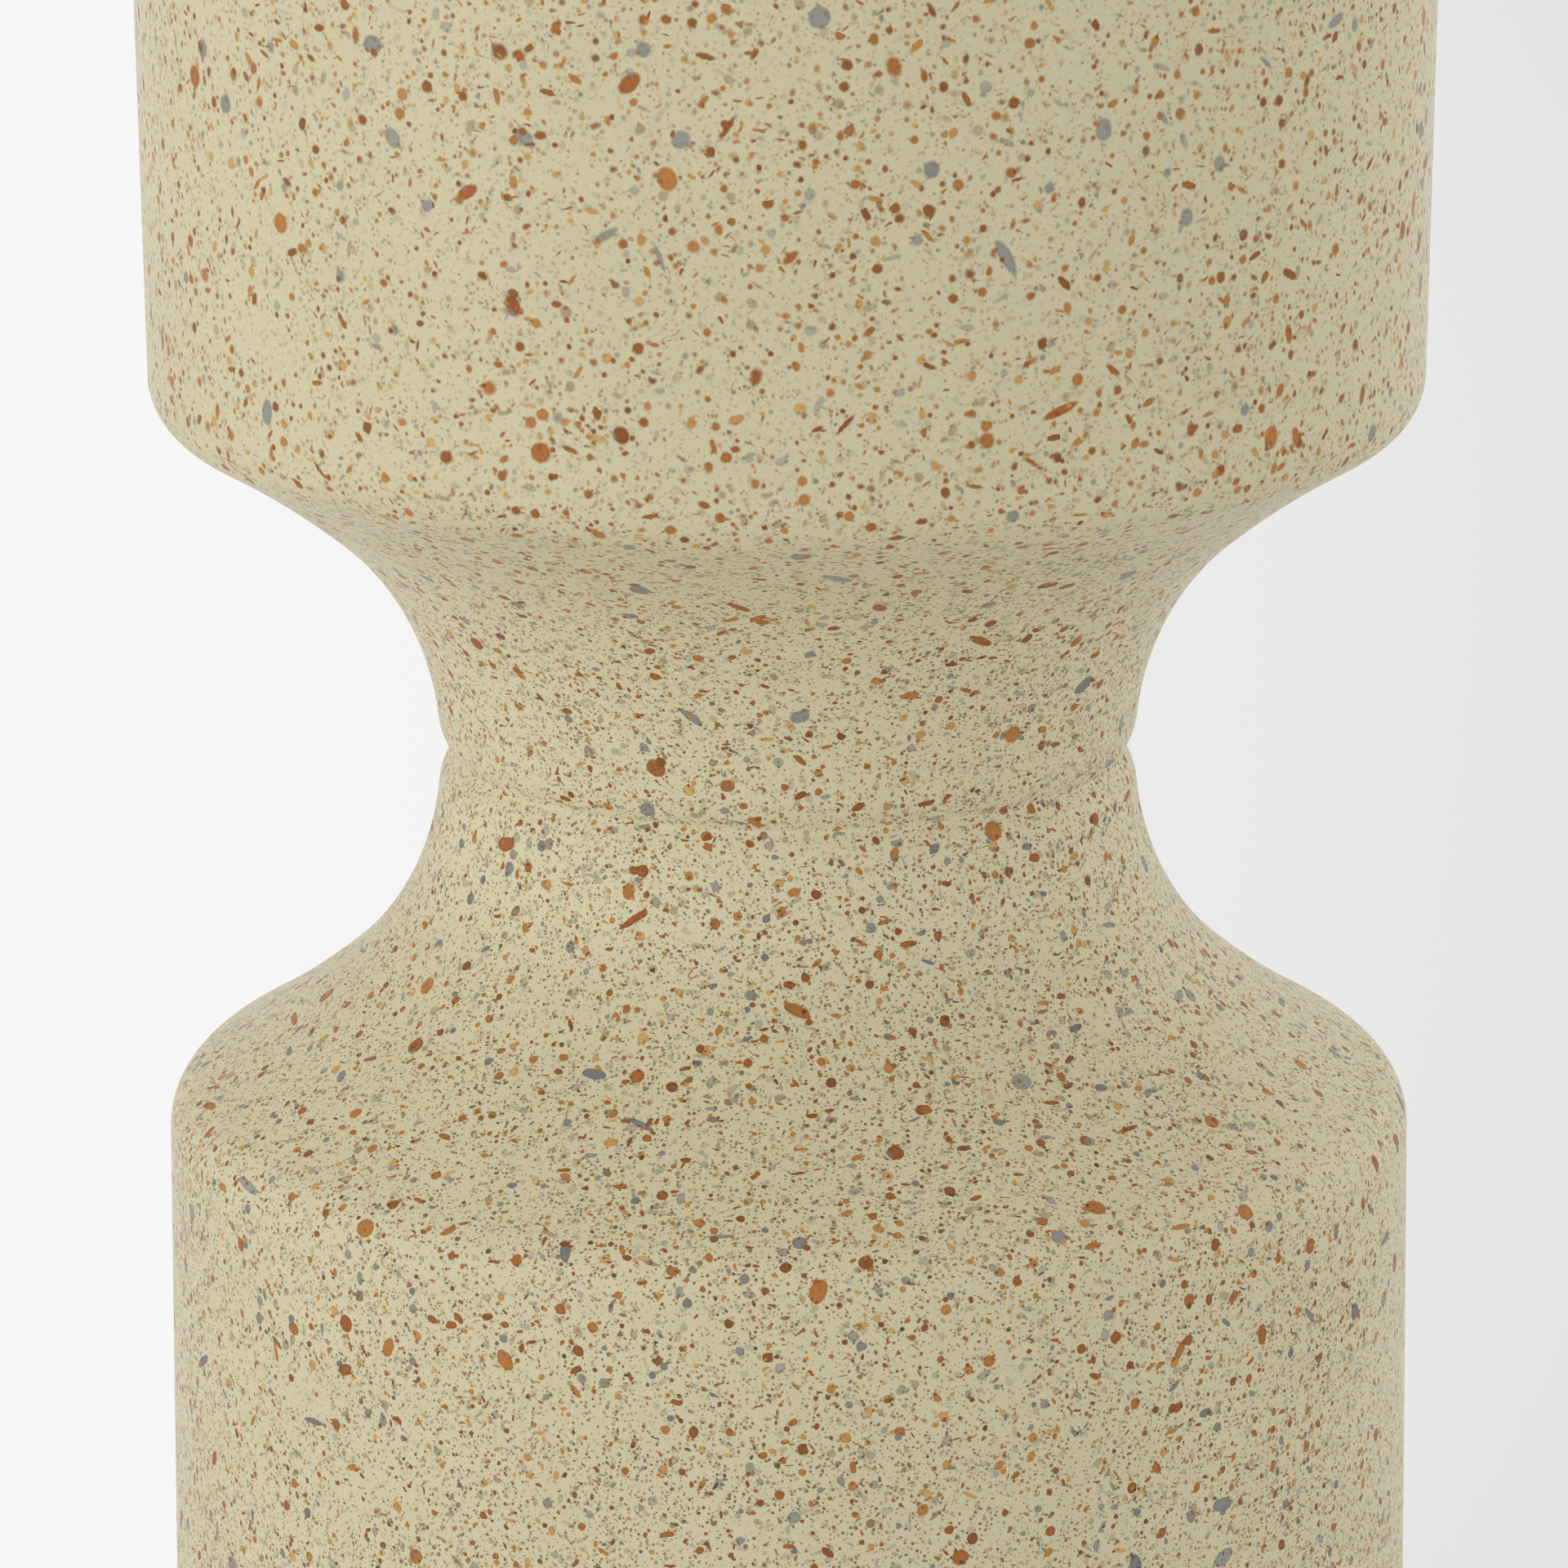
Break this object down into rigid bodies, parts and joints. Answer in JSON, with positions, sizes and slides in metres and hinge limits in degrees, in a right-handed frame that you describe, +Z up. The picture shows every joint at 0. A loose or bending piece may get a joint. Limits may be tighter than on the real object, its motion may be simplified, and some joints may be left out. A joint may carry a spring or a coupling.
{
  "type": "stoneware vase",
  "caption": "Tall round stoneware vase of straight-walled bodies joined neck to neck at a deep waist with a sharp crease, for holding stems or for display.",
  "frame": {"origin": "middle of the foot, on the surface that the vase stands on", "axes": "+Z up along the axis that the vase was turned about"},
  "size_m": [0.1624, 0.1624, 0.3263],
  "materials": {
    "speckled_glaze": "matte",
    "joining_slip": "matte",
    "raw_clay": "matte"
  },
  "bodies": {
    "root": {"lower_section": "speckled_glaze", "upper_section": "speckled_glaze", "slip_joint": "joining_slip", "inner_coil": "raw_clay"}
  },
  "joints": []
}
